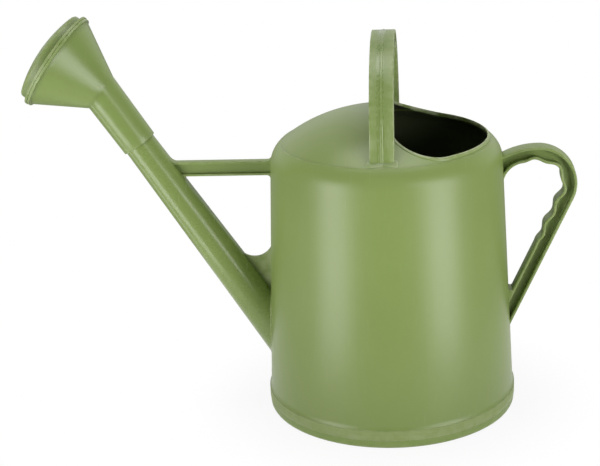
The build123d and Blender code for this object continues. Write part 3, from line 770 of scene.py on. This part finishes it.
sleeve_from, neck_from = sleeve_low + sleeve_ease, neck_t + neck_after
sleeve_foot = [
    (sleeve_bore_r + sleeve_lead, sleeve_low), (sleeve_mouth_r - sleeve_ease, sleeve_low),
    (sleeve_mouth_r - sleeve_cut, sleeve_low + sleeve_cut), (sleeve_mouth_r, sleeve_from)]
rose_rings = [sleeve_ring(r, h) for r, h in sleeve_foot]
for share in np.linspace(0, 1, 10)[1:]:
    r = sleeve_mouth_r + (sleeve_neck_r - sleeve_mouth_r) * share
    rose_rings.append(sleeve_ring(r, sleeve_from + (neck_h - neck_before - sleeve_from) * share))
for share in np.linspace(0, 1, 14):
    t = neck_from + (funnel_length - rim_ease - neck_from) * share
    rose_rings.append(funnel_ring(funnel_neck_r + funnel_slope * t, t))
back_r = funnel_neck_r + funnel_slope * funnel_length
rim_outline = [
    (back_r + 0.2, 0), (rim_r - rim_ease, 0), (rim_r - 0.1, 0.1), (rim_r, rim_ease), (rim_r, rim_t - 0.3),
    (rim_r - 0.3, rim_t), (rim_seat_r + 0.5, rim_t), (rim_seat_r, rim_t - rim_ease), (rim_seat_r, 0),
    (rim_ledge_r, 0)]
rose_rings += [funnel_ring(r, funnel_length + t) for r, t in rim_outline]
hollow_low_r = funnel_neck_r - funnel_wall / cos(funnel_turn)
hollow_length = (rim_ledge_r - hollow_low_r) / funnel_slope
rose_rings += [funnel_ring(hollow_low_r + funnel_slope * t, t) for t in np.linspace(hollow_length, 0, 8)]
rose_rings += [sleeve_ring(sleeve_way_r, -sleeve_way_r * tan(rose_bend) * np.cos(rose_angles)),
               sleeve_ring(sleeve_way_r, sleeve_end), sleeve_ring(sleeve_seat_r, sleeve_end),
               sleeve_ring(sleeve_bore_r, sleeve_low + sleeve_lead)]
rose_green = (0.216, 0.296, 0.08)
rose_finish = olive_finish("olive_rose", rose_green, 0.31)
rose = dressed(woven("rose_cone", rose_rings), rose_finish)
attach(rose, "rose")
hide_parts("rose_funnel")

# Rose face: the domed cap that sprays the water, with rings of small round holes.
# Injection-moulded olive polyethylene, plugged into the funnel's rim up to its own flange, and pulled out
# to be cleaned.
face_r, face_rise, face_dome_h, face_wall = 46.9, 12.3, 8.1, 2.2
face_flange_r, face_flange_t, face_edge, face_in_edge, face_middle = 51.0, 2.4, 2.0, 0.4, 0.004
hole_d, hole_rings, ring_holes, hole_margin = 2.4, 4, 6, 8.5
pin_sides, pin_length, pin_mid = 16, 40.0, 12
face_at = rose_at + funnel_length * funnel_on
face_angles = full_turn(192)


def cap_outline(r, rise, height, steps, ease):
    """Half outline of a domed cap from its foot to its middle."""
    ball = (r ** 2 + height ** 2) / (2 * height)
    reaches = r * np.linspace(1 - ease / r, face_middle, steps)
    cap = [(x, rise + height - ball + sqrt(ball ** 2 - x ** 2)) for x in reaches]
    low, corner, high = np.array([(r, rise - ease), (r, rise), cap[0]])
    bends = np.linspace(0, 1, 6)[:-1]
    bend = [tuple((1 - t) ** 2 * low + 2 * t * (1 - t) * corner + t ** 2 * high) for t in bends]
    return [(r, 0)] + bend + cap


def face_ring(r, t):
    """Ring round the face's axis."""
    return (face_at + t * funnel_on + np.outer(r * np.cos(face_angles), funnel_x)
            + np.outer(r * np.sin(face_angles), funnel_y))


face_outline = cap_outline(face_r - face_wall, face_rise - face_wall, face_dome_h, 24, face_in_edge)[::-1]
flange_back, flange_front = rim_t, rim_t + face_flange_t
face_outline += [
    (face_r, 0), (face_r, flange_back), (face_flange_r - 0.2, flange_back),
    (face_flange_r, flange_back + 0.2), (face_flange_r, flange_front - 0.4),
    (face_flange_r - 0.1, flange_front - 0.1), (face_flange_r - 0.4, flange_front),
    (face_r + 0.5, flange_front), (face_r, flange_front + 0.4)]
face_outline += cap_outline(face_r, face_rise, face_dome_h, 32, face_edge)[1:]
face_green = (0.22, 0.294, 0.088)
face_finish = olive_finish("olive_rose_face", face_green, 0.42)
face = dressed(woven("rose_face_cap", [face_ring(r, t) for r, t in face_outline], capped=True), face_finish)
spray, given, spray_ids = new_tree("spray_holes", {
    "Geometry": "Geometry", "Hole Radius": "Float", "Ring Step": "Float", "Depth": "Float", "Seat": "Vector",
    "Turn": "Rotation", "Finish": "Material"})
wire = Wire(spray)
places = wire.add("GeometryNodeJoinGeometry", {}, {0: wire.add("GeometryNodeMeshLine", {}, {"Count": 1})})
for ring in range(1, hole_rings + 1):
    circle = wire.add("GeometryNodeMeshCircle", {}, {
        "Vertices": ring_holes * ring, "Radius": given["Ring Step"] * ring})
    spray.links.new(circle.socket, places.socket.node.inputs[0])
pin = wire.add("GeometryNodeMeshCylinder", {}, {
    "Vertices": pin_sides, "Radius": given["Hole Radius"], "Depth": given["Depth"]})
pins = wire.add("GeometryNodeInstanceOnPoints", {}, {"Points": places, "Instance": pin})
pins = wire.add("GeometryNodeTransform", {}, {
    "Geometry": pins, "Translation": given["Seat"], "Rotation": given["Turn"]})
pins = wire.add("GeometryNodeRealizeInstances", {}, {"Geometry": pins})
drilled = wire.add("GeometryNodeMeshBoolean", {"operation": "DIFFERENCE", "solver": "EXACT"},
                   {0: given["Geometry"], 1: pins})
face_turn = Matrix((funnel_x, funnel_y, funnel_on)).transposed().to_euler()
grown(face, spray, spray_ids, drilled, given["Finish"], {
    "Hole Radius": hole_d / 2 * mm, "Ring Step": (face_r - hole_margin) / hole_rings * mm,
    "Depth": pin_length * mm, "Seat": tuple((face_at + pin_mid * funnel_on) * mm), "Turn": tuple(face_turn),
    "Finish": face_finish})
face.data.set_sharp_from_angle(angle=crisp_fold)
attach(face, "face")
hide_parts("rose_face")

# Stage: a small pale floor that keeps a faint share of the can's real shadow, with a little painted shade
# round the can, and turns white away from it, in a white room.
# Two tall softboxes stand in front, one hangs above, a narrow one lights the spout's edge, and a small one
# puts a second streak on the spout. A lens of 90 mm stands where the photograph was taken from.
floor_r, floor_z, floor_sides, shadow_r, white_r, shadow_least = 0.38, -0.0005, 96, 0.12, 0.22, 0.92
floor_mesh = bpy.data.meshes.new("floor")
floor_edge = [(floor_r * cos(a), floor_r * sin(a), floor_z) for a in full_turn(floor_sides)]
floor_mesh.from_pydata(floor_edge, [], [list(range(floor_sides))])
floor = bpy.data.objects.new("floor", floor_mesh)
bpy.context.scene.collection.objects.link(floor)


def mirrored(wire):
    """1 for a ray that a shiny or clear skin sends on, so that it shows the white room, and 0 for others."""
    ways = [wire.add("ShaderNodeLightPath", out=kind) for kind in ("Is Glossy Ray", "Is Transmission Ray")]
    return wire.math("MAXIMUM", *ways)


def between(wire, value, none, full, least=0.0):
    """Share that rises smoothly from its least to 1 as a value goes from one place to another."""
    return wire.add("ShaderNodeMapRange", {"interpolation_type": "SMOOTHSTEP"},
                    {"Value": value, "From Min": none, "From Max": full, "To Min": least})


floor_paint = bpy.data.materials.new("floor_paint")
floor_paint.use_nodes = True
floor_tree = floor_paint.node_tree
floor_wire = Wire(floor_tree)
floor_place = floor_wire.add("ShaderNodeTexCoord", out="Object")
floor_way = floor_wire.add("ShaderNodeVectorMath", {"operation": "LENGTH"}, {0: floor_place}, out="Value")
# Near the can less white is mixed in, so the floor there is a little darker: painted shade, besides the real
# shadow that the diffuse share keeps.
floor_far = between(floor_wire, floor_way, shadow_r, white_r, shadow_least)
floor_eyed = floor_wire.add("ShaderNodeLightPath", out="Is Camera Ray")
floor_white = floor_wire.add("ShaderNodeEmission", {}, {"Strength": 1.0})
floor_skin = floor_wire.add("ShaderNodeBsdfDiffuse", {}, {"Color": (0.8, 0.8, 0.8, 1)})
floor_share = floor_far * floor_eyed + mirrored(floor_wire)
floor_mix = floor_wire.add("ShaderNodeMixShader", {}, {0: floor_share, 1: floor_skin, 2: floor_white})
floor_tree.links.new(floor_mix.socket, floor_tree.nodes["Material Output"].inputs["Surface"])
floor_mesh.materials.append(floor_paint)

room_light, room_shine = 0.05, 0.3
room = bpy.data.worlds.new("white_room")
bpy.context.scene.world = room
room.use_nodes = True
room_wire = Wire(room.node_tree)
room_eyed = room_wire.add("ShaderNodeLightPath", out="Is Camera Ray")
room_way = room_wire.add("ShaderNodeTexCoord", out="Object")
room_behind = room_wire.add("ShaderNodeSeparateXYZ", {}, {0: room_way}, out="Y")
room_height = room_wire.add("ShaderNodeSeparateXYZ", {}, {0: room_way}, out="Z")
backdrop = (between(room_wire, room_behind, 0.2, 0.6) * between(room_wire, room_height, -0.05, 0.1)
            * between(room_wire, room_height, 0.82, 0.7))
room_seen = room_eyed + (room_shine + (1 - room_shine) * backdrop) * mirrored(room_wire)
room_level = room_light + (1 - room_light) * room_seen
room.node_tree.links.new(room_level.socket, room.node_tree.nodes["Background"].inputs["Strength"])
room.node_tree.nodes["Background"].inputs["Color"].default_value = (1, 1, 1, 1)


def softbox(name, place, aim, width, height, power):
    """Rectangular lamp that faces a point."""
    lamp = bpy.data.lights.new(name, "AREA")
    lamp.shape, lamp.size, lamp.size_y, lamp.energy = "RECTANGLE", width, height, power
    box = bpy.data.objects.new(name, lamp)
    box.location = place
    box.rotation_euler = (Vector(aim) - Vector(place)).to_track_quat("-Z", "Y").to_euler()
    bpy.context.scene.collection.objects.link(box)


softbox("softbox_left", (-1.43, -1.25, -0.15), (0, 0, -0.15), 1.0, 1.9, 32)
softbox("softbox_right", (1.52, -1.14, -0.15), (0, 0, -0.15), 1.0, 1.9, 33)
softbox("softbox_over", (0.0, 0.11, 1.9), (0, -0.05, 0.36), 1.5, 0.8, 17.5)
softbox("softbox_edge", (-1.03, 0.0, -0.64), (-0.2, 0, 0.22), 0.25, 0.9, 2)
softbox("softbox_front", (1.05, -1.5, 0.68), (-0.22, 0, 0.25), 0.35, 0.35, 2.6)

photo_w, focal_pixels, sensor_w, tilt = 600, 1498, 36, radians(-2.57)
eye = bpy.data.cameras.new("camera")
camera = bpy.data.objects.new("camera", eye)
bpy.context.scene.collection.objects.link(camera)
eye.lens, eye.sensor_width = focal_pixels / photo_w * sensor_w, sensor_w
look = Vector((-0.0956, 0.9419, -0.3220)).normalized()
level = look.cross(Vector((0, 0, 1))).normalized()
upright = level.cross(look)
across = level * cos(tilt) + upright * sin(tilt)
above = upright * cos(tilt) - level * sin(tilt)
camera.matrix_world = Matrix((across, above, -look)).transposed().to_4x4()
camera.location = (0.0554, -1.4101, 0.6586)
bpy.context.scene.camera = camera
bpy.context.scene.view_settings.view_transform = "Standard"
